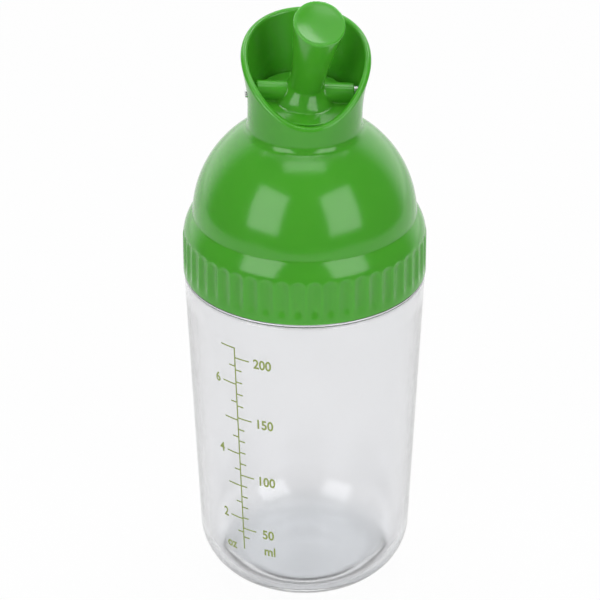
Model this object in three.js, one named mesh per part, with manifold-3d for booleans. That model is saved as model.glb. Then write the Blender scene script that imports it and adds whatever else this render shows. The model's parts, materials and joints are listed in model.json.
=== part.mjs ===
// Salad dressing shaker: a clear graduated bottle under a green screw lid. The lid's dome runs up
// into a flared spout with a slanted rim, and a lever on a steel pin opens and closes its throat.
// Units are millimetres and +Z is up. The origin is the middle of the foot, on the table.
// The spout's lip points along -Y and the lever's pin lies along X.

import * as THREE from "three";
import { mergeVertices } from "three/addons/utils/BufferGeometryUtils.js";
import Module from "manifold-3d";

const wasm = await Module();
wasm.setup();

// Gap between pieces that touch or run in each other
const clearance = 0.3;

// Bottle
const bodyHeight = 97.6; // from the table to the shoulder that the lid closes on
const bodyTopRadius = 33.8;
const bodyBaseRadius = 30.1; // where the wall turns into the rounded base
const baseRounding = 14;
const bottleWall = 2.2;
const floorThickness = 3.5;
const shoulderRounding = 1.2;
const neckHeight = 11; // of the threaded neck above the shoulder
const recessRadius = 11; // shallow hollow that leaves a ring-shaped foot
const recessDepth = 0.8;

// Lid
const skirtGap = 0.5; // between the bottle's shoulder and the lid's lower edge
const skirtOverhang = 0.2; // of the skirt past the bottle's widest part
const skirtWall = 2.4;
const skirtHeight = 8.8; // straight part, under the rounded shoulder
const threadRoom = 1.2; // left between neck and skirt for the thread
const creaseHeight = 17; // where the dome rises out of the shoulder, above the skirt's edge
const domeInset = 2.7; // of the dome from the skirt
const domeCentreHeight = 15.4; // above the skirt's edge
const lidWall = 2;
const fluteCount = 48;
const fluteDepth = 0.7;
const fluteWidth = 3.8;
const fluteHeight = 12.6; // of the rounded tops, above the skirt's edge

// Spout
const throatRadius = 13.9;
const spoutWall = 1.9;
const spoutFillet = 2.8; // where the spout leaves the dome
const flareStart = 48; // above the skirt's edge
const flareBend = 40; // radius of the curve that turns the wall outwards
const flareAngle = THREE.MathUtils.degToRad(11.5);
const rimHeight = 62.7; // of the rim at the spout's axis, above the skirt's edge
const rimSlope = 0.59; // fall of the rim towards the lip
const rimBow = 0.0076; // how much steeper the rim falls near the lip, per millimetre

// Pin and lever
const pinHeight = 53.2; // above the skirt's edge
const pinRadius = 1.1;
const pinProud = 0.25; // how far each end stands out of the spout
const barrelRadius = 2.7;
const stemWaist = 4.7; // radius of the stem at its narrowest
const stemHead = 6.7; // radius of the stem under the thumb face
const waistRise = 5; // above the pin
const padForward = 7; // of the thumb face, from the pin
const padRise = 24.5;
const padTilt = THREE.MathUtils.degToRad(33); // of the thumb face, from level towards the lip
const padDish = 0.7; // depth of the hollow in the thumb face
const padRim = 0.9; // width of the edge left round that hollow
const leverLean = THREE.MathUtils.degToRad(3); // sideways, as far as its loose bore lets it
const discDrop = 2; // from the pin to the top of the valve disc
const discFlange = 0.9; // thickness of the disc above the seal, and below it
const footRadius = 8.4; // of the cone that joins the disc to the stem
const sealThickness = 1.4;
const sealWidth = 1.8;

// Gasket
const gasketThickness = 1.6;

// How finely round shapes are divided
const turns = 64;
const fineTurns = 40;

// Heights and radii that follow from the sizes above
const skirtBottom = bodyHeight + skirtGap;
const skirtRadius = bodyTopRadius + skirtOverhang;
const boreRadius = skirtRadius - skirtWall;
const neckRadius = boreRadius - threadRoom;
const neckTop = bodyHeight + neckHeight;
const gasketBottom = neckTop + clearance;
const ledgeHeight = gasketBottom + gasketThickness + clearance;
const domeRadius = skirtRadius - domeInset;
const domeCentre = skirtBottom + domeCentreHeight;
const domeInside = domeRadius - lidWall;
const spoutRadius = throatRadius + spoutWall;
const pinZ = skirtBottom + pinHeight;
const turningRadius = throatRadius - clearance; // of everything that turns in the throat
const sealTop = -discDrop - discFlange - clearance; // these heights are from the pin
const sealBottom = sealTop - sealThickness;
const discBottom = sealBottom - clearance - discFlange;
const sealInside = turningAt(sealTop) - sealWidth;

const materials = {
  clear: new THREE.MeshStandardMaterial({
    color: 0xe4ebec, roughness: 0.05, metalness: 0, transparent: true, opacity: 0.3,
  }),
  green: new THREE.MeshStandardMaterial({ color: 0x4fa332, roughness: 0.22, metalness: 0 }),
  silicone: new THREE.MeshStandardMaterial({ color: 0xdfe3df, roughness: 0.5, metalness: 0 }),
  steel: new THREE.MeshStandardMaterial({ color: 0xb9bcc0, roughness: 0.25, metalness: 1 }),
};

// A point of a profile: distance from the axis, then height
function at(radius, height) {
  return new THREE.Vector2(radius, height);
}

// Points of an arc of a profile, with its angles in degrees from straight outwards
function arc(centre, radius, from, to, steps) {
  const points = [];
  for (let i = 0; i <= steps; i += 1) {
    const angle = THREE.MathUtils.degToRad(from + ((to - from) * i) / steps);
    points.push(at(centre.x + radius * Math.cos(angle), centre.y + radius * Math.sin(angle)));
  }
  return points;
}

// Turns a profile about the Z axis. The profile runs with the material on its left.
function revolve(points, segments = turns) {
  return new THREE.LatheGeometry(points, segments).rotateX(Math.PI / 2);
}

function cylinder(radius, length, segments = fineTurns) {
  return new THREE.CylinderGeometry(radius, radius, length, segments);
}

// Makes a solid of a closed geometry
function solid(geometry) {
  geometry.deleteAttribute("normal");
  geometry.deleteAttribute("uv");
  const merged = mergeVertices(geometry, 1e-4);
  const corners = merged.index.array;
  const triangles = [];
  for (let i = 0; i < corners.length; i += 3) {
    const [a, b, c] = corners.slice(i, i + 3);
    if (a !== b && b !== c && c !== a) triangles.push(a, b, c);
  }
  return new wasm.Manifold(new wasm.Mesh({
    numProp: 3,
    vertProperties: new Float32Array(merged.attributes.position.array),
    triVerts: new Uint32Array(triangles),
  }));
}

// Makes a named mesh of a solid
function piece(name, body, material) {
  const { vertProperties, triVerts } = body.getMesh();
  const geometry = new THREE.BufferGeometry();
  geometry.setAttribute("position", new THREE.BufferAttribute(vertProperties, 3));
  geometry.setIndex(new THREE.BufferAttribute(triVerts, 1));
  geometry.computeVertexNormals();
  const mesh = new THREE.Mesh(geometry, material);
  mesh.name = name;
  return mesh;
}

// Clear bottle: a tapered cup with a rounded base, a ring-shaped foot and a narrower neck
function makeBottle() {
  const flatRadius = bodyBaseRadius - baseRounding;
  const insideRounding = baseRounding - bottleWall;
  const insideFloor = bodyBaseRadius - bottleWall - insideRounding;
  const insideTop = bodyTopRadius - bottleWall;
  const neckInside = neckRadius - bottleWall;
  const shoulderTurn = bodyTopRadius - shoulderRounding;
  const lip = bottleWall / 2;
  const insideShoulder = bodyHeight - bottleWall;
  const step = insideTop - neckInside;
  return solid(revolve([
    at(0, recessDepth),
    at(recessRadius - recessDepth, recessDepth),
    at(recessRadius, 0),
    ...arc(at(flatRadius, baseRounding), baseRounding, -90, 0, 7),
    ...arc(at(shoulderTurn, bodyHeight - shoulderRounding), shoulderRounding, 0, 90, 3),
    at(neckRadius, bodyHeight),
    ...arc(at(neckRadius - lip, neckTop - lip), lip, 0, 180, 4),
    at(neckInside, insideShoulder),
    ...arc(at(neckInside, insideShoulder - step), step, 90, 0, 3),
    ...arc(at(insideFloor, floorThickness + insideRounding), insideRounding, 0, -90, 6),
    at(0, floorThickness),
  ]));
}

// How far the spout's wall has spread outwards at a height
function flareAt(z) {
  const rise = Math.max(0, z - skirtBottom - flareStart);
  const bendHeight = flareBend * Math.sin(flareAngle);
  if (rise <= bendHeight) return flareBend - Math.sqrt(flareBend ** 2 - rise ** 2);
  return flareBend * (1 - Math.cos(flareAngle)) + (rise - bendHeight) * Math.tan(flareAngle);
}

// Height of the slanted rim at a distance from the spout's axis towards the lip
function rimAt(forward) {
  return skirtBottom + rimHeight - rimSlope * forward - rimBow * forward ** 2;
}

// Slants the level rim of a revolved spout: each ring of the wall above the fillet is raised or
// lowered towards the rim's own curve, and stays on the flare
function slantRim(geometry, wallStart, wallEnd) {
  const meanRadius = spoutRadius + flareAt(wallEnd) - spoutWall / 2;
  const position = geometry.attributes.position;
  for (let i = 0; i < position.count; i += 1) {
    const [x, y, z] = [position.getX(i), position.getY(i), position.getZ(i)];
    if (z > wallStart) {
      const share = Math.min(1, (z - wallStart) / (wallEnd - wallStart));
      const radius = Math.hypot(x, y);
      const shift = rimAt((-y / radius) * meanRadius) - rimAt(0);
      const height = z + share * shift;
      const spread = (radius + flareAt(height) - flareAt(z)) / radius;
      position.setXYZ(i, x * spread, y * spread, height);
    }
  }
  return geometry;
}

// Grooves round the skirt, each with a rounded top that runs out on the shoulder
function makeFlutes() {
  const radius = (fluteWidth ** 2 / 4 + fluteDepth ** 2) / (2 * fluteDepth);
  const axisRadius = skirtRadius - fluteDepth + radius;
  const length = 2 * fluteHeight - 2 * radius;
  const grooves = [];
  for (let i = 0; i < fluteCount; i += 1) {
    const groove = new THREE.CapsuleGeometry(radius, length, 4, 16, 1).rotateX(Math.PI / 2);
    groove.translate(axisRadius, 0, skirtBottom);
    groove.rotateZ((2 * Math.PI * i) / fluteCount);
    grooves.push(solid(groove));
  }
  return grooves;
}

// Lid: fluted skirt, rounded shoulder, dome and spout in one moulding
function makeLid() {
  const filletReach = spoutRadius + spoutFillet;
  const filletRise = Math.sqrt((domeRadius + spoutFillet) ** 2 - filletReach ** 2);
  const fillet = at(filletReach, domeCentre + filletRise);
  const filletAngle = THREE.MathUtils.radToDeg(Math.atan2(filletRise, filletReach));
  const crease = skirtBottom + creaseHeight;
  const creaseAngle = THREE.MathUtils.radToDeg(Math.asin((crease - domeCentre) / domeRadius));
  const creaseRadius = domeRadius * Math.cos(THREE.MathUtils.degToRad(creaseAngle));
  const shoulderStart = skirtBottom + skirtHeight;
  const inset = skirtRadius - creaseRadius;
  const shoulderRadius = (inset ** 2 + (crease - shoulderStart) ** 2) / (2 * inset);
  const shoulderAngle = THREE.MathUtils.radToDeg(
    Math.asin((crease - shoulderStart) / shoulderRadius),
  );
  const insideStart = Math.max(ledgeHeight, domeCentre);
  const insideAngle = THREE.MathUtils.radToDeg(
    Math.asin((insideStart - domeCentre) / domeInside),
  );
  const lip = spoutWall / 2;
  const wallStart = fillet.y;
  const wallEnd = rimAt(0) - lip;
  const rows = 6;
  const outside = [];
  const inside = [];
  for (let i = 1; i < rows; i += 1) {
    const z = wallStart + ((wallEnd - wallStart) * i) / rows;
    outside.push(at(spoutRadius + flareAt(z), z));
    inside.unshift(at(throatRadius + flareAt(z), z));
  }
  const shell = revolve([
    at(boreRadius, skirtBottom),
    at(skirtRadius, skirtBottom),
    ...arc(at(skirtRadius - shoulderRadius, shoulderStart), shoulderRadius, 0, shoulderAngle, 4),
    ...arc(at(0, domeCentre), domeRadius, creaseAngle, filletAngle, 9),
    ...arc(fillet, spoutFillet, 180 + filletAngle, 180, 3).slice(1),
    ...outside,
    ...arc(at(throatRadius + flareAt(wallEnd) + lip, wallEnd), lip, 0, 180, 5),
    ...inside,
    ...arc(fillet, spoutFillet + spoutWall, 180, 180 + filletAngle, 3),
    ...arc(at(0, domeCentre), domeInside, filletAngle, insideAngle, 6),
    at(domeInside, ledgeHeight),
    at(boreRadius, ledgeHeight),
    at(boreRadius, skirtBottom),
  ]);
  const pinHole = solid(cylinder(pinRadius + clearance, 2 * skirtRadius, 24)
    .rotateZ(Math.PI / 2).translate(0, 0, pinZ));
  return solid(slantRim(shell, wallStart, wallEnd))
    .subtract(wasm.Manifold.union([...makeFlutes(), pinHole]));
}

// Gasket: silicone ring between the bottle's mouth and the ledge inside the lid
function makeGasket() {
  const inner = neckRadius - bottleWall + clearance;
  const outer = boreRadius - clearance;
  const top = gasketBottom + gasketThickness;
  const edge = gasketThickness / 4;
  return solid(revolve([
    at(inner + edge, gasketBottom),
    at(outer - edge, gasketBottom),
    at(outer, gasketBottom + edge),
    at(outer, top - edge),
    at(outer - edge, top),
    at(inner + edge, top),
    at(inner, top - edge),
    at(inner, gasketBottom + edge),
    at(inner + edge, gasketBottom),
  ]));
}

// Pin: steel rod through the spout's walls, with rounded ends that stand a little proud
function makePin() {
  const half = spoutRadius + flareAt(pinZ) + pinProud;
  const edge = pinRadius / 4;
  return solid(new THREE.LatheGeometry([
    at(0, -half),
    at(pinRadius - edge, -half),
    at(pinRadius, -half + edge),
    at(pinRadius, half - edge),
    at(pinRadius - edge, half),
    at(0, half),
  ], 24).rotateZ(Math.PI / 2).translate(0, 0, pinZ));
}

// Radius of the ball about the pin in which the lever turns, at a height from the pin
function turningAt(z) {
  return Math.sqrt(turningRadius ** 2 - z ** 2);
}

// Lever, built about the pin: valve disc, foot, barrels and stem in one moulding, with a
// dished thumb face
function makeLever() {
  const lean = Math.atan2(padForward, padRise);
  const reach = Math.hypot(padForward, padRise);
  const overshoot = stemHead * Math.tan(padTilt) + padDish;
  const groove = sealInside - clearance;
  const lowerFlange = turningAt(discBottom) - clearance;
  const disc = solid(revolve([
    at(0, discBottom),
    at(lowerFlange, discBottom),
    at(lowerFlange, sealBottom - clearance),
    at(groove, sealBottom - clearance),
    at(groove, sealTop + clearance),
    at(turningAt(sealTop + clearance), sealTop + clearance),
    at(turningAt(sealTop + clearance), -discDrop),
    at(footRadius, -discDrop),
    at((footRadius + 2 * stemWaist) / 3, 0),
    at(stemWaist, waistRise),
    at(0, waistRise),
  ], fineTurns));
  const stem = solid(revolve([
    at(0, 0),
    at(stemWaist, 0),
    at(stemWaist, waistRise),
    at((2 * stemWaist + stemHead) / 3, (2 * waistRise + reach) / 3),
    at(stemHead, reach),
    at(stemHead, reach + overshoot),
    at(0, reach + overshoot),
  ], fineTurns).rotateX(lean));
  const turningBall = solid(new THREE.SphereGeometry(turningRadius, 48, 24));
  const barrels = solid(cylinder(barrelRadius, 2 * turningRadius, 32).rotateZ(Math.PI / 2))
    .intersect(turningBall);
  const pinBore = pinRadius + clearance + turningRadius * Math.tan(leverLean);
  const bore = solid(cylinder(pinBore, 4 * turningRadius, 24).rotateZ(Math.PI / 2));
  const above = 4 * stemHead;
  const faceCut = new THREE.BoxGeometry(above, above, above).translate(0, 0, above / 2);
  const dishReach = stemHead - padRim;
  const dishRadius = (dishReach ** 2 + padDish ** 2) / (2 * padDish);
  const dish = new THREE.SphereGeometry(dishRadius, 96, 64)
    .translate(0, 0, dishRadius - padDish);
  const face = [faceCut, dish].map((cut) => solid(
    cut.rotateX(padTilt).translate(0, -padForward, padRise),
  ));
  return wasm.Manifold.union([disc, stem, barrels])
    .subtract(wasm.Manifold.union([bore, ...face]));
}

// Seal, built about the pin: silicone ring in the disc's groove, with its edge on the ball in
// which the lever turns
function makeSeal() {
  const edge = [];
  const steps = 3;
  for (let i = 0; i <= steps; i += 1) {
    const z = sealBottom + (sealThickness * i) / steps;
    edge.push(at(turningAt(z), z));
  }
  const profile = [at(sealInside, sealBottom), ...edge, at(sealInside, sealTop)];
  return solid(revolve([...profile, profile[0]], fineTurns));
}

const bottle = piece("bottle", makeBottle(), materials.clear);
const lid = piece("lid", makeLid(), materials.green);
const gasket = piece("lid_gasket", makeGasket(), materials.silicone);
const pin = piece("pivot_pin", makePin(), materials.steel);
const lever = piece("lever", makeLever(), materials.green);
const seal = piece("valve_seal", makeSeal(), materials.silicone);

const tilting = new THREE.Group();
tilting.add(lever, seal);
tilting.position.z = pinZ;
tilting.rotation.y = leverLean;

const shaker = new THREE.Group();
shaker.add(bottle, lid, gasket, pin, tilting);

export default shaker;
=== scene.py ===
# Salad dressing shaker: a clear graduated bottle under a green lid with a dome, a slanted spout
# and a lever valve. Lengths are in millimetres until a piece is finished, and then in metres.

import json
import math

import bmesh
import bpy
from mathutils import Matrix, Vector


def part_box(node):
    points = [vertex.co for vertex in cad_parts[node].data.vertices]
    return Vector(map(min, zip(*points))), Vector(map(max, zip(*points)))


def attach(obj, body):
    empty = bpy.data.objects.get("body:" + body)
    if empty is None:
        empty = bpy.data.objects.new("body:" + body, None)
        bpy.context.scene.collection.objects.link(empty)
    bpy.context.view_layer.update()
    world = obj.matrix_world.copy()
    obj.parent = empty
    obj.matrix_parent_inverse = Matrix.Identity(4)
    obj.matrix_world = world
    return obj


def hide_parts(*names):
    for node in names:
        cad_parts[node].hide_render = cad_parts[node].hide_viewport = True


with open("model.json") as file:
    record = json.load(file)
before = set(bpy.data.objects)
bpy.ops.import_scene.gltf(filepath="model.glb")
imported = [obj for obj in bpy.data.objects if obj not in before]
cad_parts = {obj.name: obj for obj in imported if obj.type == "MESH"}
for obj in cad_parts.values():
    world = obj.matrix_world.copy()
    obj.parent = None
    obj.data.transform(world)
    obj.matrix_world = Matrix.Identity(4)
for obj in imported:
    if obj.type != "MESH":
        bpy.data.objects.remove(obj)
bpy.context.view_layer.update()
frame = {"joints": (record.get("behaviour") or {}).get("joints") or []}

MM = 0.001
JOINTS = {joint["name"]: joint for joint in frame["joints"]}


def frame_box(node):
    """Lowest and highest corner of a CAD node, in millimetres."""
    low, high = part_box(node)
    return Vector(low) / MM, Vector(high) / MM


# Bottle
NECK_TOP = frame_box("bottle")[1].z
NECK_HEIGHT = 11
SHOULDER_DROP = 0.9  # the shoulder stands this much lower than in the CAD
BODY_HEIGHT = NECK_TOP - NECK_HEIGHT - SHOULDER_DROP
BODY_TOP_RADIUS = 33.8
BODY_BASE_RADIUS = 30.1
BASE_ROUNDING = 15.5
BOTTLE_WALL = 2.2
FLOOR_THICKNESS = 6
FLOOR_ROUNDING = 1.2
SHOULDER_ROUNDING = 0.35
SHOULDER_WALL = 1.3
INNER_SHOULDER_ROUNDING = 1.2
NECK_FILLET = 0.8
RECESS_RADIUS = 15
RECESS_DEPTH = 0.8

# Lid
SKIRT_BOTTOM = frame_box("lid")[0].z
SKIRT_DROP = 1.1  # the skirt's edge stands this much lower than in the CAD
SKIRT_EDGE = SKIRT_BOTTOM - SKIRT_DROP
SKIRT_RADIUS = 34
SKIRT_WALL = 2.4
SKIRT_HEIGHT = 8.8
EDGE_ROUNDING = 0.35
THREAD_ROOM = 1.2
CREASE_HEIGHT = 17
DOME_RADIUS = 31.3
DOME_CENTRE = SKIRT_BOTTOM + 15.4
LID_WALL = 2
LEDGE_HEIGHT = NECK_TOP + 2.2
FLUTE_COUNT = 48
FLUTE_DEPTH = 0.7
FLUTE_WIDTH = 3.8
FLUTE_HEIGHT = 13.4
FLUTE_SOFTNESS = 0.12
EDGE_BAND = 0.5  # plain band under the flutes
FLUTE_FADE = 4.8  # height over which they deepen, above that band
BORE_RADIUS = SKIRT_RADIUS - SKIRT_WALL
NECK_RADIUS = BORE_RADIUS - THREAD_ROOM

# Spout
THROAT_RADIUS = 13.9
SPOUT_WALL = 1.9
SPOUT_RADIUS = THROAT_RADIUS + SPOUT_WALL
SPOUT_FILLET = 2.8
FLARE_START = SKIRT_BOTTOM + 48
FLARE_BEND = 40
FLARE_ANGLE = math.radians(11.5)
RIM_HEIGHT = SKIRT_BOTTOM + 62.4
RIM_SLOPE = 0.615
RIM_BOW = 0.009
SPOUT_SHIFT = 0.5  # of the rim to one side, as the photographed spout is a little warped

# Pin, lever and seals
PIN = Vector(JOINTS["lever_tilt"]["pos_m"]) / MM
PIN_RADIUS = 1.1
PIN_HALF = frame_box("pivot_pin")[1].x
BARREL_RADIUS = 2.8
STEM_WAIST = 4.7
STEM_HEAD = 7.15
STEM_SWELL = 1.25  # power by which the stem widens: 1 is straight
WAIST_RISE = 5
PAD_FORWARD = 8.2
PAD_RISE = 24.1
PAD_TILT = math.radians(33)
PAD_DISH = 0.4
PAD_RIM = 0.9
LEVER_LEAN = math.radians(4.2)  # sideways, as it hangs crooked on its pin
STEM_LEAN = math.radians(3.8)  # sideways, of the stem on its disc
DISC_TILT = math.radians(8)  # the disc's back edge stands higher than its front
DISC_DROP = 2
DISC_FLANGE = 0.9
FOOT_RADIUS = 8.4
FOOT_SPREAD = 2.2  # power by which the foot spreads
SEAL_THICKNESS = 1.4
SEAL_WIDTH = 1.8
GAP = 0.3
TURNING_RADIUS = THROAT_RADIUS - GAP
SEAL_TOP = -DISC_DROP - DISC_FLANGE - GAP
SEAL_BOTTOM = SEAL_TOP - SEAL_THICKNESS
DISC_BOTTOM = SEAL_BOTTOM - GAP - DISC_FLANGE
MELT_SIZE = 0.22  # of the cells in which the lever's parts melt together
MELT_ROUNDS = 6

# Screw thread: two ridges, each rising by the lead in one turn
THREAD_LEAD = 6
THREAD_STARTS = 2
THREAD_DEPTH = 0.8
THREAD_TURNS = 0.85
THREAD_FOOT = 0.75  # half a ridge's height at its foot
THREAD_CREST = 0.3  # half its height at its crest
THREAD_BURY = 0.15  # depth of its foot in the wall
NECK_THREAD_RISE = 3.2  # above the shoulder
LID_THREAD_RISE = 1.7


# Profiles: points at a distance from the axis and a height

def arc(centre, radius, start, end, steps):
    """Points of an arc, with its angles in degrees from straight outwards."""
    angles = [math.radians(start + (end - start) * i / steps) for i in range(steps + 1)]
    return [(centre[0] + radius * math.cos(a), centre[1] + radius * math.sin(a)) for a in angles]


def line(start, end, steps):
    """Points between two points of a profile, without the ends."""
    return [tuple(start[k] + (end[k] - start[k]) * i / steps for k in (0, 1))
            for i in range(1, steps)]


# Mesh building

def spun(points, steps, closed=False):
    """A profile turned about the Z axis. An open profile starts and ends on the axis."""
    bm = bmesh.new()
    verts = [bm.verts.new((radius, 0, height)) for radius, height in points]
    loop = verts + [verts[0]] if closed else verts
    edges = [bm.edges.new(pair) for pair in zip(loop, loop[1:])]
    bmesh.ops.spin(bm, geom=verts + edges, cent=(0, 0, 0), axis=(0, 0, 1), angle=2 * math.pi,
                   steps=steps, use_merge=True, use_duplicate=False)
    bmesh.ops.remove_doubles(bm, verts=bm.verts, dist=0.002)
    bmesh.ops.recalc_face_normals(bm, faces=bm.faces)
    return bm


def linked(bm, name):
    """Makes a mesh object of a mesh that is being built."""
    mesh = bpy.data.meshes.new(name)
    bm.to_mesh(mesh)
    bm.free()
    item = bpy.data.objects.new(name, mesh)
    bpy.context.scene.collection.objects.link(item)
    return item


def finished(bm, name, material, body, nodes=(), place=None):
    """Makes a piece of a mesh in millimetres, smooth but for its sharp edges."""
    if place is not None:
        bmesh.ops.transform(bm, matrix=place, verts=bm.verts)
    bmesh.ops.scale(bm, vec=(MM, MM, MM), verts=bm.verts)
    piece = linked(bm, name)
    piece.data.shade_smooth()
    piece.data.set_sharp_from_angle(angle=math.radians(35))
    piece.data.materials.append(material)
    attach(piece, body)
    if nodes:
        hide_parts(*nodes)
    return piece


# Materials

FOOT_SHADE_TOP = 0.0085  # metres: painted shade darkens the clear foot between these two heights, for the shadowed ground seen through it
FOOT_SHADE_BOTTOM = 0.0055


class Term:
    """A value in a material: sums on it add Math nodes."""

    def __init__(self, paint, socket):
        self.paint = paint
        self.socket = socket

    def combined(self, operation, first, second):
        node = self.paint.node("ShaderNodeMath", {"operation": operation}, {0: first, 1: second})
        return Term(self.paint, node.outputs[0])

    def __add__(self, other):
        return self.combined("ADD", self, other)

    def __mul__(self, other):
        return self.combined("MULTIPLY", self, other)

    def __rsub__(self, other):
        return self.combined("SUBTRACT", other, self)

    __radd__ = __add__
    __rmul__ = __mul__


class Paint:
    """A material and its nodes."""

    def __init__(self, name):
        self.material = bpy.data.materials.new(name)
        self.material.use_nodes = True
        self.tree = self.material.node_tree
        self.tree.nodes.clear()
        self.output = self.tree.nodes.new("ShaderNodeOutputMaterial")

    def node(self, kind, settings=None, sockets=None):
        """Adds a node: its settings first, then the values or links of its sockets."""
        node = self.tree.nodes.new(kind)
        for key, value in (settings or {}).items():
            setattr(node, key, value)
        for key, value in (sockets or {}).items():
            if isinstance(value, Term):
                value = value.socket
            if isinstance(value, bpy.types.NodeSocket):
                self.tree.links.new(value, node.inputs[key])
            else:
                node.inputs[key].default_value = value
        return node

    def term(self, node, output=0):
        return Term(self, node.outputs[output])

    def place(self):
        return self.node("ShaderNodeTexCoord").outputs["Object"]

    def noise(self, scale, detail):
        """Noise about 0.5, with its scale in cycles a metre."""
        return self.term(self.node("ShaderNodeTexNoise", {}, {
            "Vector": self.place(), "Scale": scale, "Detail": detail}))

    def bump(self, height, strength, distance):
        return self.node("ShaderNodeBump", {}, {
            "Height": height, "Strength": strength, "Distance": distance}).outputs[0]

    def mixed(self, factor, first, second):
        """A mix of two colours."""
        node = self.node("ShaderNodeMix", {"data_type": "RGBA"}, {0: factor, 6: first, 7: second})
        return node.outputs[2]

    def show(self, shader):
        self.tree.links.new(shader.outputs[0], self.output.inputs["Surface"])
        return self.material


def green_plastic():
    """Glossy moulded plastic, a little uneven in colour and in its skin."""
    paint = Paint("green_moulding")
    clouds = paint.noise(60, 2)
    skin = paint.noise(900, 3)
    shade = paint.mixed(clouds, (0.058, 0.325, 0.017, 1), (0.068, 0.36, 0.022, 1))
    shader = paint.node("ShaderNodeBsdfPrincipled", {}, {
        "Base Color": shade,
        "Roughness": 0.12 + 0.06 * clouds,
        "Normal": paint.bump(skin, 0.04, 0.0002),
        "IOR": 1.49,
        "Subsurface Weight": 0.5,
        "Subsurface Radius": (0.5, 1.0, 0.3),
        "Subsurface Scale": 0.0025,
    })
    return paint.show(shader)


def clear_plastic():
    """Clear moulded plastic. Its shadow lets the light through, as a clear cup's does."""
    paint = Paint("clear_moulding")
    waves = paint.noise(45, 2)
    scuffs = paint.noise(400, 3)
    height = paint.node("ShaderNodeSeparateXYZ", {}, {"Vector": paint.place()}).outputs["Z"]
    # painted shade: the base colour darkens towards the foot, for the shadowed ground seen through
    # the floor
    depth = paint.node("ShaderNodeMapRange", {}, {
        "Value": height, "From Min": FOOT_SHADE_TOP, "From Max": FOOT_SHADE_BOTTOM}).outputs[0]
    shader = paint.node("ShaderNodeBsdfPrincipled", {}, {
        "Base Color": paint.mixed(depth, (0.942, 0.944, 0.952, 1), (0.89, 0.9, 0.91, 1)),
        "Roughness": 0.07 + 0.05 * scuffs,
        "Normal": paint.bump(waves, 0.06, 0.0004),
        "IOR": 1.53,
        "Specular IOR Level": 0.3,
        "Transmission Weight": 1.0,
    })
    passing = paint.node("ShaderNodeBsdfTransparent", {}, {"Color": (0.8, 0.81, 0.82, 1)})
    rays = paint.node("ShaderNodeLightPath")
    mixed = paint.node("ShaderNodeMixShader", {}, {
        0: rays.outputs["Is Shadow Ray"], 1: shader.outputs[0], 2: passing.outputs[0]})
    return paint.show(mixed)


def white_silicone():
    """Milky silicone with a dull, slightly uneven skin."""
    paint = Paint("milky_silicone")
    skin = paint.noise(700, 3)
    shader = paint.node("ShaderNodeBsdfPrincipled", {}, {
        "Base Color": paint.mixed(skin, (0.78, 0.8, 0.78, 1), (0.85, 0.86, 0.84, 1)),
        "Roughness": 0.4 + 0.15 * skin,
        "Normal": paint.bump(skin, 0.08, 0.0002),
        "Subsurface Weight": 0.3,
        "Subsurface Radius": (1.0, 1.0, 1.0),
        "Subsurface Scale": 0.001,
    })
    return paint.show(shader)


def steel():
    """Drawn steel with fine lines along the rod."""
    paint = Paint("drawn_steel")
    stretch = paint.node("ShaderNodeMapping", {}, {
        "Vector": paint.place(), "Scale": (40, 4000, 4000)}).outputs[0]
    lines = paint.term(paint.node("ShaderNodeTexNoise", {}, {
        "Vector": stretch, "Scale": 1.0, "Detail": 2}))
    shader = paint.node("ShaderNodeBsdfPrincipled", {}, {
        "Base Color": paint.mixed(lines, (0.5, 0.51, 0.52, 1), (0.66, 0.67, 0.68, 1)),
        "Metallic": 1.0,
        "Roughness": 0.2 + 0.15 * lines,
    })
    return paint.show(shader)


def scale_ink():
    """Olive ink, a little thinner in places."""
    paint = Paint("olive_ink")
    grain = paint.noise(1500, 3)
    shader = paint.node("ShaderNodeBsdfPrincipled", {}, {
        "Base Color": paint.mixed(grain, (0.22, 0.28, 0.05, 1), (0.29, 0.36, 0.08, 1)),
        "Roughness": 0.45 + 0.1 * grain,
    })
    return paint.show(shader)


# Bottle

def bottle_radius(z):
    """Outside radius of the bottle's tapered wall at a height."""
    share = (z - BASE_ROUNDING) / (BODY_HEIGHT - SHOULDER_ROUNDING - BASE_ROUNDING)
    return BODY_BASE_RADIUS + (BODY_TOP_RADIUS - BODY_BASE_RADIUS) * share


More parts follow.
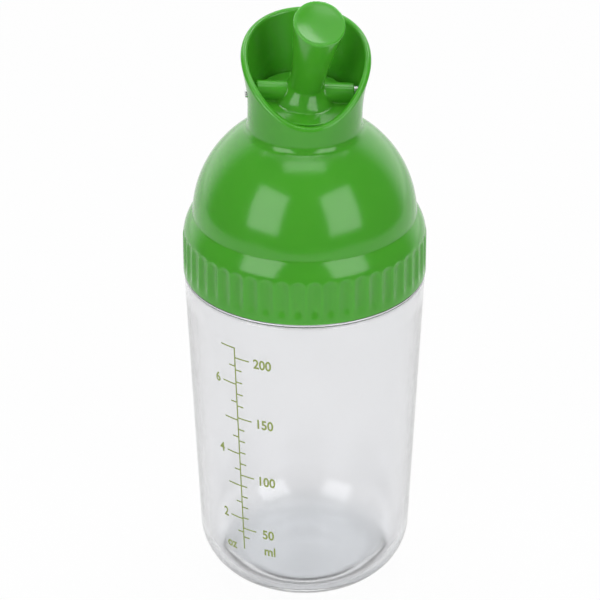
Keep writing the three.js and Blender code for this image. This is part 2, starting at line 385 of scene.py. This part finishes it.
def make_bottle(material):
    """The bottle, from under its foot up the outside, over the lip and down the inside."""
    flat = BODY_BASE_RADIUS - BASE_ROUNDING
    inside_rounding = BASE_ROUNDING - BOTTLE_WALL
    inside_top = BODY_TOP_RADIUS - BOTTLE_WALL
    neck_inside = NECK_RADIUS - BOTTLE_WALL
    turn = (BODY_TOP_RADIUS - SHOULDER_ROUNDING, BODY_HEIGHT - SHOULDER_ROUNDING)
    lip = BOTTLE_WALL / 2
    inside_shoulder = BODY_HEIGHT - SHOULDER_WALL
    step = INNER_SHOULDER_ROUNDING
    root = NECK_FILLET
    # the floor's fillet lies inside the curve of the wall
    fillet_height = FLOOR_THICKNESS + FLOOR_ROUNDING
    fillet_reach = math.sqrt((inside_rounding - FLOOR_ROUNDING) ** 2
                             - (BASE_ROUNDING - fillet_height) ** 2)
    fillet = (flat + fillet_reach, fillet_height)
    fillet_angle = math.degrees(math.atan2(fillet_height - BASE_ROUNDING, fillet_reach))
    steps = 12
    hollow = [(RECESS_RADIUS * i / steps, RECESS_DEPTH * (1 - (i / steps) ** 2) ** 2)
              for i in range(steps)]
    profile = (
        hollow
        + arc((flat, BASE_ROUNDING), BASE_ROUNDING, -90, 0, 28)
        + line((BODY_BASE_RADIUS, BASE_ROUNDING), (BODY_TOP_RADIUS, turn[1]), 12)
        + arc(turn, SHOULDER_ROUNDING, 0, 90, 8)
        + arc((NECK_RADIUS + root, BODY_HEIGHT + root), root, 270, 180, 5)
        + arc((NECK_RADIUS - lip, NECK_TOP - lip), lip, 0, 180, 12)
        + [(neck_inside, inside_shoulder)]
        + arc((inside_top - step, inside_shoulder - step), step, 90, 0, 6)
        + line((inside_top, inside_shoulder - step),
               (BODY_BASE_RADIUS - BOTTLE_WALL, BASE_ROUNDING), 12)
        + arc((flat, BASE_ROUNDING), inside_rounding, 0, fillet_angle, 16)
        + arc(fillet, FLOOR_ROUNDING, fillet_angle, -90, 8)[1:]
        + line((fillet[0], FLOOR_THICKNESS), (0, FLOOR_THICKNESS), 8)
        + [(0, FLOOR_THICKNESS)]
    )
    return finished(spun(profile, 192), "clear_bottle", material, "bottle", ["bottle"])


# Screw thread

def make_thread(name, material, body, radius, depth, start_height):
    """Ridges that rise round a cylinder. A negative depth points inwards."""
    bm = bmesh.new()
    foot = radius - math.copysign(THREAD_BURY, depth)
    crest = radius + depth
    steps = 100
    for i in range(THREAD_STARTS):
        points = [(foot, -THREAD_FOOT), (crest, -THREAD_CREST), (crest, THREAD_CREST),
                  (foot, THREAD_FOOT)]
        verts = [bm.verts.new((reach, 0, start_height + z)) for reach, z in points]
        face = bm.faces.new(verts)
        turn = Matrix.Rotation(2 * math.pi * i / THREAD_STARTS, 3, "Z")
        bmesh.ops.rotate(bm, cent=(0, 0, 0), matrix=turn, verts=verts)
        bmesh.ops.spin(bm, geom=[face] + verts + list(face.edges), cent=(0, 0, 0),
                       axis=(0, 0, 1), dvec=(0, 0, THREAD_LEAD * THREAD_TURNS / steps),
                       angle=2 * math.pi * THREAD_TURNS, steps=steps)
    bmesh.ops.remove_doubles(bm, verts=bm.verts, dist=0.001)
    bmesh.ops.recalc_face_normals(bm, faces=bm.faces)
    return finished(bm, name, material, body)


# Lid

def flare_at(z):
    """How far the spout's wall has spread outwards at a height."""
    rise = max(0, z - FLARE_START)
    bend = FLARE_BEND * math.sin(FLARE_ANGLE)
    if rise <= bend:
        return FLARE_BEND - math.sqrt(FLARE_BEND ** 2 - rise ** 2)
    return FLARE_BEND * (1 - math.cos(FLARE_ANGLE)) + (rise - bend) * math.tan(FLARE_ANGLE)


def rim_at(forward):
    """Height of the slanted rim at a distance from the spout's axis towards the lip."""
    return RIM_HEIGHT - RIM_SLOPE * forward - RIM_BOW * forward ** 2


def slant_rim(bm, wall_start, wall_end):
    """Raises or lowers each ring of the spout's wall towards the rim's own curve."""
    mean = SPOUT_RADIUS + flare_at(wall_end) - SPOUT_WALL / 2
    for vert in bm.verts:
        x, y, z = vert.co
        if z > wall_start:
            share = min(1, (z - wall_start) / (wall_end - wall_start))
            radius = math.hypot(x, y)
            height = z + share * (rim_at(-y / radius * mean) - rim_at(0))
            spread = (radius + flare_at(height) - flare_at(z)) / radius
            vert.co = (x * spread + SPOUT_SHIFT * share, y * spread, height)


def cut_flutes(bm):
    """Presses the grooves into the skirt, each with a rounded top that runs out on the shoulder."""
    radius = (FLUTE_WIDTH ** 2 / 4 + FLUTE_DEPTH ** 2) / (2 * FLUTE_DEPTH)
    axis = SKIRT_RADIUS - FLUTE_DEPTH + radius
    dome = SKIRT_BOTTOM + FLUTE_HEIGHT - radius
    pitch = 2 * math.pi / FLUTE_COUNT
    out_of_reach = (BORE_RADIUS + SKIRT_RADIUS) / 2 - FLUTE_DEPTH
    for vert in bm.verts:
        x, y, z = vert.co
        reach = math.hypot(x, y)
        if reach < out_of_reach or z > SKIRT_BOTTOM + FLUTE_HEIGHT + 1:
            continue
        angle = math.atan2(y, x)
        offset = (angle + pitch / 2) % pitch - pitch / 2
        side = reach * math.sin(offset)
        rise = max(0, z - dome)
        inside = radius ** 2 - side ** 2 - rise ** 2
        groove = axis - math.sqrt(inside) if inside > 0 else math.inf
        blend = max(0, 1 - abs(reach - groove) / (2 * FLUTE_SOFTNESS))
        new = min(reach, groove) - FLUTE_SOFTNESS * blend ** 2 / 2
        fade = min(1, max(0, (z - SKIRT_EDGE - EDGE_BAND) / FLUTE_FADE))
        new = reach + (new - reach) * fade ** 2 * (3 - 2 * fade)
        vert.co = (x * new / reach, y * new / reach, z)


def make_lid(material):
    """The lid, from the skirt's edge up the outside, over the rim and down the inside."""
    fillet_reach = SPOUT_RADIUS + SPOUT_FILLET
    fillet_rise = math.sqrt((DOME_RADIUS + SPOUT_FILLET) ** 2 - fillet_reach ** 2)
    fillet = (fillet_reach, DOME_CENTRE + fillet_rise)
    fillet_angle = math.degrees(math.atan2(fillet_rise, fillet_reach))
    crease = SKIRT_BOTTOM + CREASE_HEIGHT
    crease_angle = math.degrees(math.asin((crease - DOME_CENTRE) / DOME_RADIUS))
    crease_radius = DOME_RADIUS * math.cos(math.radians(crease_angle))
    shoulder_start = SKIRT_BOTTOM + SKIRT_HEIGHT
    inset = SKIRT_RADIUS - crease_radius
    shoulder = (inset ** 2 + (crease - shoulder_start) ** 2) / (2 * inset)
    shoulder_angle = math.degrees(math.asin((crease - shoulder_start) / shoulder))
    dome_inside = DOME_RADIUS - LID_WALL
    lip = SPOUT_WALL / 2
    wall_start = fillet[1]
    wall_end = rim_at(0) - lip
    edge = EDGE_ROUNDING
    crease_gap = 0.6  # degrees from the crease to the next point of the dome
    rows = 18
    heights = [wall_start + (wall_end - wall_start) * i / rows for i in range(1, rows)]
    outside = [(SPOUT_RADIUS + flare_at(z), z) for z in heights]
    inside = [(THROAT_RADIUS + flare_at(z), z) for z in reversed(heights)]
    profile = (
        arc((BORE_RADIUS + edge, SKIRT_EDGE + edge), edge, 180, 270, 3)
        + arc((SKIRT_RADIUS - edge, SKIRT_EDGE + edge), edge, 270, 360, 4)
        + line((SKIRT_RADIUS, SKIRT_EDGE + edge), (SKIRT_RADIUS, SKIRT_EDGE + FLUTE_FADE), 8)
        + line((SKIRT_RADIUS, SKIRT_EDGE + FLUTE_FADE), (SKIRT_RADIUS, shoulder_start), 6)
        + arc((SKIRT_RADIUS - shoulder, shoulder_start), shoulder, 0, shoulder_angle, 26)
        + arc((0, DOME_CENTRE), DOME_RADIUS, crease_angle + crease_gap, fillet_angle, 34)
        + arc(fillet, SPOUT_FILLET, 180 + fillet_angle, 180, 10)[1:]
        + outside
        + arc((THROAT_RADIUS + flare_at(wall_end) + lip, wall_end), lip, 0, 180, 12)
        + inside
        + arc(fillet, SPOUT_FILLET + SPOUT_WALL, 180, 180 + fillet_angle, 8)
        + arc((0, DOME_CENTRE), dome_inside, fillet_angle, 0, 16)
        + [(dome_inside, LEDGE_HEIGHT), (BORE_RADIUS, LEDGE_HEIGHT)]
    )
    bm = spun(profile, FLUTE_COUNT * 10, closed=True)
    slant_rim(bm, wall_start, wall_end)
    cut_flutes(bm)
    lid = finished(bm, "green_lid", material, "lid", ["lid"])
    drill_pin_holes(lid)
    return lid


def rod(radius, length, segments):
    """A cylinder along X about the origin."""
    bm = bmesh.new()
    bmesh.ops.create_cone(bm, cap_ends=True, segments=segments, radius1=radius, radius2=radius,
                          depth=length)
    bmesh.ops.rotate(bm, cent=(0, 0, 0), matrix=Matrix.Rotation(math.pi / 2, 3, "Y"),
                     verts=bm.verts)
    return bm


def drill_pin_holes(lid):
    """Cuts the two holes for the pin through the spout's walls."""
    drill = rod(PIN_RADIUS + GAP / 2, 3 * SPOUT_RADIUS, 32)
    bmesh.ops.translate(drill, vec=PIN, verts=drill.verts)
    bmesh.ops.scale(drill, vec=(MM, MM, MM), verts=drill.verts)
    cut(lid, linked(drill, "pin_drill"))


def cut(piece, tool, operation="DIFFERENCE"):
    """Cuts the tool out of a piece, and removes the tool."""
    step = piece.modifiers.new("cut", "BOOLEAN")
    step.object = tool
    step.operation = operation
    step.solver = "EXACT"
    bake_modifiers(piece)
    bpy.data.objects.remove(tool)


def bake_modifiers(piece):
    """Applies a piece's modifiers to its mesh."""
    bpy.context.view_layer.update()
    graph = bpy.context.evaluated_depsgraph_get()
    mesh = bpy.data.meshes.new_from_object(piece.evaluated_get(graph))
    piece.modifiers.clear()
    piece.data = mesh


# Lever

def turning_at(z):
    """Radius of the ball in which the lever turns, at a height from the pin."""
    return math.sqrt(TURNING_RADIUS ** 2 - z ** 2)


def stem_profile(reach, overshoot):
    """The stem along its own axis: a waist above the pin, and a head that widens."""
    steps = 14
    flank = []
    for i in range(steps + 1):
        share = i / steps
        radius = STEM_WAIST + (STEM_HEAD - STEM_WAIST) * share ** STEM_SWELL
        flank.append((radius, WAIST_RISE + (reach - WAIST_RISE) * share))
    return [(0, 0), (STEM_WAIST, 0)] + flank + [(STEM_HEAD, reach + overshoot),
                                                (0, reach + overshoot)]


def foot_profile():
    """The cone that spreads from the stem's waist to the valve disc."""
    steps = 10
    flank = []
    for i in range(steps + 1):
        share = i / steps
        spread = (1 - share) ** FOOT_SPREAD
        height = -DISC_DROP + (WAIST_RISE + DISC_DROP) * share
        flank.append((STEM_WAIST + (FOOT_RADIUS - STEM_WAIST) * spread, height))
    return flank


def make_foot():
    """The valve disc with its groove for the seal, and the foot of the stem."""
    groove = turning_at(SEAL_TOP) - SEAL_WIDTH - GAP
    lower = turning_at(DISC_BOTTOM) - GAP
    upper = turning_at(SEAL_TOP + GAP)
    disc = spun([(0, DISC_BOTTOM), (lower, DISC_BOTTOM), (lower, SEAL_BOTTOM - GAP),
                 (groove, SEAL_BOTTOM - GAP), (groove, SEAL_TOP + GAP), (upper, SEAL_TOP + GAP),
                 (upper, -DISC_DROP)] + foot_profile() + [(0, WAIST_RISE)], 96)
    bmesh.ops.rotate(disc, cent=(0, 0, 0), matrix=Matrix.Rotation(DISC_TILT, 3, "X"),
                     verts=disc.verts)
    return linked(disc, "foot")


def make_stem():
    """The stem, which leans forward and sideways, longer than the cut of its thumb face."""
    reach = math.hypot(PAD_FORWARD, PAD_RISE)
    overshoot = STEM_HEAD * math.tan(PAD_TILT) + PAD_DISH
    stem = spun(stem_profile(reach, overshoot), 96)
    lean = (Matrix.Rotation(STEM_LEAN, 3, "Y")
            @ Matrix.Rotation(math.atan2(PAD_FORWARD, PAD_RISE), 3, "X"))
    bmesh.ops.rotate(stem, cent=(0, 0, 0), matrix=lean, verts=stem.verts)
    return linked(stem, "stem")


def make_barrels():
    """Both barrels as one rod, whose ends lie on the ball in which the lever turns."""
    ball = bmesh.new()
    bmesh.ops.create_uvsphere(ball, u_segments=96, v_segments=64, radius=TURNING_RADIUS)
    barrels = linked(rod(BARREL_RADIUS, 2 * TURNING_RADIUS, 64), "barrels")
    cut(barrels, linked(ball, "ball"), "INTERSECT")
    return barrels


def cut_thumb_face(lever):
    """Cuts the stem off at a slant, and dishes the face a little."""
    block = bmesh.new()
    bmesh.ops.create_cube(block, size=4 * STEM_HEAD)
    bmesh.ops.translate(block, vec=(0, 0, 2 * STEM_HEAD), verts=block.verts)
    dish_reach = STEM_HEAD - PAD_RIM
    dish_radius = (dish_reach ** 2 + PAD_DISH ** 2) / (2 * PAD_DISH)
    dish = bmesh.new()
    bmesh.ops.create_uvsphere(dish, u_segments=160, v_segments=120, radius=dish_radius)
    bmesh.ops.translate(dish, vec=(0, 0, dish_radius - PAD_DISH), verts=dish.verts)
    sideways = Matrix.Rotation(STEM_LEAN, 3, "Y")
    tilt = sideways @ Matrix.Rotation(PAD_TILT, 3, "X")
    face = sideways @ Vector((0, -PAD_FORWARD, PAD_RISE))
    for tool in (block, dish):
        bmesh.ops.rotate(tool, cent=(0, 0, 0), matrix=tilt, verts=tool.verts)
        bmesh.ops.translate(tool, vec=face, verts=tool.verts)
        cut(lever, linked(tool, "face_tool"))


def melt_together(lever):
    """Rounds the joins of the lever's parts, as in one moulding."""
    remesh = lever.modifiers.new("melt", "REMESH")
    remesh.mode = "VOXEL"
    remesh.voxel_size = MELT_SIZE
    smooth = lever.modifiers.new("smooth", "SMOOTH")
    smooth.factor = 0.5
    smooth.iterations = MELT_ROUNDS
    bake_modifiers(lever)


def bore_barrels(lever):
    """Cuts the bore for the pin, which stays level while the lever leans."""
    bore = rod(PIN_RADIUS + GAP / 2, 3 * TURNING_RADIUS, 48)
    bmesh.ops.rotate(bore, cent=(0, 0, 0), matrix=Matrix.Rotation(-LEVER_LEAN, 3, "Y"),
                     verts=bore.verts)
    cut(lever, linked(bore, "pin_bore"))


def make_lever(material):
    """The lever as one moulding, about its pin."""
    lever = make_foot()
    cut(lever, make_stem(), "UNION")
    cut(lever, make_barrels(), "UNION")
    cut_thumb_face(lever)
    melt_together(lever)
    bore_barrels(lever)
    bm = bmesh.new()
    bm.from_mesh(lever.data)
    bpy.data.objects.remove(lever)
    place = Matrix.Translation(PIN) @ Matrix.Rotation(LEVER_LEAN, 4, "Y")
    return finished(bm, "green_lever", material, "lever", ["lever"], place)


def make_seal(material):
    """Ring in the disc's groove, with its edge on the ball in which the lever turns."""
    inside = turning_at(SEAL_TOP) - SEAL_WIDTH
    edge = 0.3
    heights = [SEAL_BOTTOM + edge + (SEAL_THICKNESS - 2 * edge) * i / 6 for i in range(7)]
    profile = (
        [(inside, SEAL_BOTTOM), (turning_at(SEAL_BOTTOM) - edge, SEAL_BOTTOM)]
        + [(turning_at(z), z) for z in heights]
        + [(turning_at(SEAL_TOP) - edge, SEAL_TOP), (inside, SEAL_TOP)]
    )
    place = (Matrix.Translation(PIN) @ Matrix.Rotation(LEVER_LEAN, 4, "Y")
             @ Matrix.Rotation(DISC_TILT, 4, "X"))
    return finished(spun(profile, 96, closed=True), "disc_seal", material, "lever",
                    ["valve_seal"], place)


def make_gasket(material):
    """Ring with rounded edges between the bottle's mouth and the ledge in the lid."""
    low, high = frame_box("lid_gasket")
    inner = NECK_RADIUS - BOTTLE_WALL + GAP
    outer = BORE_RADIUS - GAP
    edge = 0.4
    profile = (
        arc((outer - edge, low.z + edge), edge, 270, 360, 4)
        + arc((outer - edge, high.z - edge), edge, 0, 90, 4)
        + arc((inner + edge, high.z - edge), edge, 90, 180, 4)
        + arc((inner + edge, low.z + edge), edge, 180, 270, 4)
    )
    return finished(spun(profile, 128, closed=True), "mouth_gasket", material, "gasket",
                    ["lid_gasket"])


def make_pin(material):
    """Rod with rounded ends through the spout's walls and the lever's barrels."""
    edge = PIN_RADIUS / 4
    profile = ([(0, -PIN_HALF)]
               + arc((PIN_RADIUS - edge, -PIN_HALF + edge), edge, 270, 360, 4)
               + arc((PIN_RADIUS - edge, PIN_HALF - edge), edge, 0, 90, 4)
               + [(0, PIN_HALF)])
    place = Matrix.Translation(PIN) @ Matrix.Rotation(math.pi / 2, 4, "Y")
    return finished(spun(profile, 32), "steel_pin", material, "lid", ["pivot_pin"],
                    place)


# Printed scale

PRINT_TURN = -4.5  # of the whole print, in degrees from the places below
PRINT_SLANT = 0.017  # degrees a millimetre of height
PRINT_MIDDLE = 52  # height at which the slant moves nothing
LINE_ANGLE = -35
LINE_LOW, LINE_HIGH = 19, 86.3
LINE_WIDTH = 0.4
PRINT_LIFT = 0.06
INK_THICKNESS = 0.05
LONG_TICK = 8
SHORT_TICK = 3.6
# Heights of the marks at which the numbers stand, in millimetres
MILLILITRES = {50: 26.1, 100: 44.2, 150: 63.3, 200: 83.0}
OUNCES = {2: 29.3, 3: 40.5, 4: 51.2, 5: 62.5, 6: 74.3, 7: 86.1}
LABELLED_OUNCES = (2, 4, 6)
LOWEST_MILLILITRES = 23.1
LOWEST_OUNCES = 24.7
MARK_STEPS = 5  # from one number of millilitres to the next
UNITS = {"ml": (-19.5, 20.1), "oz": (-43.5, 19.3)}  # angle and height of each
MILLILITRES_ANGLE = -20.2
OUNCES_ANGLE = -46.6
MILLILITRES_DROP = 0.4  # of the numbers below their marks
LETTER_HEIGHT = 2.9
LETTER_SHARE = 0.7  # of the typeface's size that a figure's height is
LETTER_WIDTH = 0.86  # share of the typeface's own width
LETTER_WEIGHT = 0.03  # share of the height by which the strokes are fattened


def wrap(bm):
    """Lays a flat print, drawn as angle in degrees and height, on the bottle's wall."""
    for vert in bm.verts:
        z, depth = vert.co.y, vert.co.z
        angle = math.radians(vert.co.x + PRINT_TURN - PRINT_SLANT * (z - PRINT_MIDDLE))
        radius = bottle_radius(z) + PRINT_LIFT + depth
        vert.co = (radius * math.sin(angle), -radius * math.cos(angle), z)


def bar(bm, left, right, low, high):
    """A printed bar between two angles and two heights."""
    steps = max(1, round(abs(right - left)))
    grid = bmesh.ops.create_grid(bm, x_segments=steps, y_segments=1, size=1)["verts"]
    bmesh.ops.scale(bm, vec=((right - left) / 2, (high - low) / 2, 1), verts=grid)
    bmesh.ops.translate(bm, vec=((left + right) / 2, (low + high) / 2, 0), verts=grid)


def tick(bm, length, z):
    """A mark beside the upright line: to the right, or to the left where its length is negative."""
    left, right = sorted((LINE_ANGLE, LINE_ANGLE + length))
    bar(bm, left, right, z - LINE_WIDTH / 2, z + LINE_WIDTH / 2)


def label(bm, text, angle, z):
    """A printed word or number, centred at an angle and a height."""
    curve = bpy.data.curves.new("label", "FONT")
    curve.body = text
    curve.align_x = "CENTER"
    curve.align_y = "CENTER"
    curve.size = LETTER_HEIGHT / LETTER_SHARE
    curve.offset = LETTER_WEIGHT * LETTER_HEIGHT
    item = bpy.data.objects.new("label", curve)
    bpy.context.scene.collection.objects.link(item)
    bpy.context.view_layer.update()
    mesh = bpy.data.meshes.new_from_object(
        item.evaluated_get(bpy.context.evaluated_depsgraph_get()))
    width = LETTER_WIDTH * math.degrees(1 / bottle_radius(z))
    mesh.transform(Matrix.Translation((angle, z, 0)) @ Matrix.Diagonal((width, 1, 1, 1)))
    bm.from_mesh(mesh)
    bpy.data.objects.remove(item)


def make_scale(material):
    """The upright line, with millilitres to its right and ounces to its left."""
    bm = bmesh.new()
    half_width = math.degrees(LINE_WIDTH / 2 / BODY_TOP_RADIUS)
    bar(bm, LINE_ANGLE - half_width, LINE_ANGLE + half_width, LINE_LOW, LINE_HIGH)
    tick(bm, SHORT_TICK, LOWEST_MILLILITRES)
    for amount, z in MILLILITRES.items():
        tick(bm, LONG_TICK, z)
        label(bm, str(amount), MILLILITRES_ANGLE, z - MILLILITRES_DROP)
    heights = list(MILLILITRES.values())
    for low, high in zip(heights, heights[1:]):
        for i in range(1, MARK_STEPS):
            tick(bm, SHORT_TICK, low + (high - low) * i / MARK_STEPS)
    tick(bm, -SHORT_TICK, LOWEST_OUNCES)
    for amount, z in OUNCES.items():
        tick(bm, -LONG_TICK, z)
        if amount in LABELLED_OUNCES:
            label(bm, str(amount), OUNCES_ANGLE, z)
    heights = list(OUNCES.values())
    for low, high in zip(heights, heights[1:]):
        tick(bm, -SHORT_TICK, (low + high) / 2)
    for unit, (angle, z) in UNITS.items():
        label(bm, unit, angle, z)
    bmesh.ops.solidify(bm, geom=bm.faces[:], thickness=INK_THICKNESS)
    wrap(bm)
    bmesh.ops.recalc_face_normals(bm, faces=bm.faces)
    return finished(bm, "printed_scale", material, "bottle")


# Stage, lamps and camera

SHEET_WIDTH = 1.05
SHEET_LENGTH = 4
SHEET_FRONT = 0.5  # how far the sheet reaches in front of the object
SHEET_SEEN = 0.95  # share of pure white that the camera sees
SHEET_MIRRORED = 0.8  # share of pure white in reflections


def make_floor():
    """White sheet, which the camera sees nearly white, with the object's shadow on it."""
    bm = bmesh.new()
    bmesh.ops.create_grid(bm, x_segments=8, y_segments=8, size=0.5)
    bmesh.ops.scale(bm, vec=(SHEET_WIDTH, SHEET_LENGTH, 1), verts=bm.verts)
    bmesh.ops.translate(bm, vec=(0, SHEET_LENGTH / 2 - SHEET_FRONT, 0), verts=bm.verts)
    bmesh.ops.rotate(bm, cent=(0, 0, 0), matrix=Matrix.Rotation(-CAMERA_YAW, 3, "Z"),
                     verts=bm.verts)
    floor = linked(bm, "floor")
    paint = Paint("floor_paint")
    matt = paint.node("ShaderNodeBsdfDiffuse", {}, {"Color": (0.72, 0.72, 0.725, 1)})
    white = paint.node("ShaderNodeEmission", {}, {"Color": (1, 1, 1, 1), "Strength": 1.0})
    rays = paint.node("ShaderNodeLightPath")
    reflected = paint.term(rays, "Is Glossy Ray") * (1 - paint.term(rays, "Is Transmission Ray"))
    mixed = paint.node("ShaderNodeMixShader", {}, {
        0: paint.term(rays, "Is Camera Ray") * SHEET_SEEN + reflected * SHEET_MIRRORED,
        1: matt.outputs[0], 2: white.outputs[0]})
    floor.data.materials.append(paint.show(mixed))


WORLD_FRONT = 0.16  # strength of the light from the camera's side
WORLD_BACK = 1.5  # strength of the light from behind the object
WORLD_TOP = 1.0  # strength of the light from straight above
BACK_EDGE = (0.3, 0.7)  # cosines, from straight behind, between which the back grows bright
TOP_EDGE = (0.88, 0.97)  # cosines, from straight above, between which the top does


def make_world():
    """White for the eye. The object is lit by a bright backdrop in an otherwise dim room."""
    world = bpy.data.worlds.new("studio")
    bpy.context.scene.world = world
    world.use_nodes = True
    tree = world.node_tree
    tree.nodes.clear()

    def ramp(value, edge, low, high):
        node = tree.nodes.new("ShaderNodeMapRange")
        node.interpolation_type = "SMOOTHSTEP"
        settings = {"From Min": edge[0], "From Max": edge[1], "To Min": low, "To Max": high}
        for key, number in settings.items():
            node.inputs[key].default_value = number
        tree.links.new(value, node.inputs["Value"])
        return node.outputs[0]

    rays = tree.nodes.new("ShaderNodeLightPath")
    way = tree.nodes.new("ShaderNodeTexCoord").outputs["Generated"]
    along = tree.nodes.new("ShaderNodeVectorMath")
    along.operation = "DOT_PRODUCT"
    along.inputs[1].default_value = (math.sin(CAMERA_YAW), math.cos(CAMERA_YAW), 0)
    height = tree.nodes.new("ShaderNodeSeparateXYZ")
    brighter = tree.nodes.new("ShaderNodeMath")
    brighter.operation = "MAXIMUM"
    room = tree.nodes.new("ShaderNodeBackground")
    seen = tree.nodes.new("ShaderNodeBackground")
    for background in (room, seen):
        background.inputs["Color"].default_value = (1, 1, 1, 1)
    mix = tree.nodes.new("ShaderNodeMixShader")
    output = tree.nodes.new("ShaderNodeOutputWorld")
    tree.links.new(way, along.inputs[0])
    tree.links.new(way, height.inputs[0])
    back = ramp(along.outputs["Value"], BACK_EDGE, WORLD_FRONT, WORLD_BACK)
    top = ramp(height.outputs["Z"], TOP_EDGE, 0, WORLD_TOP)
    tree.links.new(top, brighter.inputs[0])
    tree.links.new(back, brighter.inputs[1])
    tree.links.new(brighter.outputs[0], room.inputs["Strength"])
    tree.links.new(rays.outputs["Is Camera Ray"], mix.inputs[0])
    tree.links.new(room.outputs[0], mix.inputs[1])
    tree.links.new(seen.outputs[0], mix.inputs[2])
    tree.links.new(mix.outputs[0], output.inputs["Surface"])


def lamp(name, azimuth, elevation, distance, size, power, target):
    """An oblong soft box that faces the object. Azimuth 0 is in front, and grows to the right."""
    light = bpy.data.lights.new(name, "AREA")
    light.shape = "RECTANGLE"
    light.size, light.size_y = size
    light.energy = power
    item = bpy.data.objects.new(name, light)
    a, e = math.radians(azimuth), math.radians(elevation)
    way = Vector((math.sin(a) * math.cos(e), -math.cos(a) * math.cos(e), math.sin(e)))
    item.location = target + distance * way
    item.rotation_euler = way.to_track_quat("Z", "Y").to_euler()
    bpy.context.scene.collection.objects.link(item)


CAMERA_TARGET = Vector((0, 0, 0.09))
CAMERA_DISTANCE = 1.0
CAMERA_ELEVATION = math.radians(28.88)
CAMERA_YAW = math.radians(4.5)  # the lip points this far to the viewer's right
FRAME_PIXELS = 600
FOCAL_PIXELS = 3553.8
TARGET_PIXEL = (304.7, 288.0)  # where the target stands in the picture


def make_camera():
    """Camera that looks down on the object, with its picture shifted as the photograph is."""
    camera = bpy.data.cameras.new("camera")
    camera.sensor_width = 36
    camera.lens = FOCAL_PIXELS / FRAME_PIXELS * camera.sensor_width
    middle = FRAME_PIXELS / 2
    camera.shift_x = (middle - TARGET_PIXEL[0]) / FRAME_PIXELS
    camera.shift_y = (TARGET_PIXEL[1] - middle) / FRAME_PIXELS
    item = bpy.data.objects.new("camera", camera)
    way = Vector((-math.sin(CAMERA_YAW) * math.cos(CAMERA_ELEVATION),
                  -math.cos(CAMERA_YAW) * math.cos(CAMERA_ELEVATION),
                  math.sin(CAMERA_ELEVATION)))
    item.location = CAMERA_TARGET + CAMERA_DISTANCE * way
    item.rotation_euler = way.to_track_quat("Z", "Y").to_euler()
    bpy.context.scene.collection.objects.link(item)
    bpy.context.scene.camera = item


def make_lamps():
    """Two large boxes at the sides, two smaller ones behind and a strip overhead."""
    target = Vector((0, 0, 0.12))
    view = -math.degrees(CAMERA_YAW)
    lamp("left_box", view - 43, 24, 1.2, (0.75, 0.9), 6.8, target)
    lamp("right_box", view + 42, 24, 1.2, (0.75, 0.9), 6.6, target)
    lamp("top_left_box", view - 131, 63, 1.1, (0.45, 0.35), 2.4, target)
    lamp("top_right_box", view + 131, 63, 1.1, (0.45, 0.35), 2.4, target)
    lamp("overhead_strip", view, 77, 1.1, (0.76, 0.23), 0.95, target)


make_camera()
make_lamps()
make_world()
make_floor()

green = green_plastic()
clear = clear_plastic()
silicone = white_silicone()
bright_steel = steel()
ink = scale_ink()

make_bottle(clear)
make_lid(green)
make_lever(green)
make_seal(silicone)
make_gasket(silicone)
make_pin(bright_steel)
make_thread("neck_thread", clear, "bottle", NECK_RADIUS, THREAD_DEPTH,
            BODY_HEIGHT + NECK_THREAD_RISE)
make_thread("lid_thread", green, "lid", BORE_RADIUS, -THREAD_DEPTH,
            BODY_HEIGHT + LID_THREAD_RISE)
make_scale(ink)

bpy.context.scene.view_settings.view_transform = "Standard"
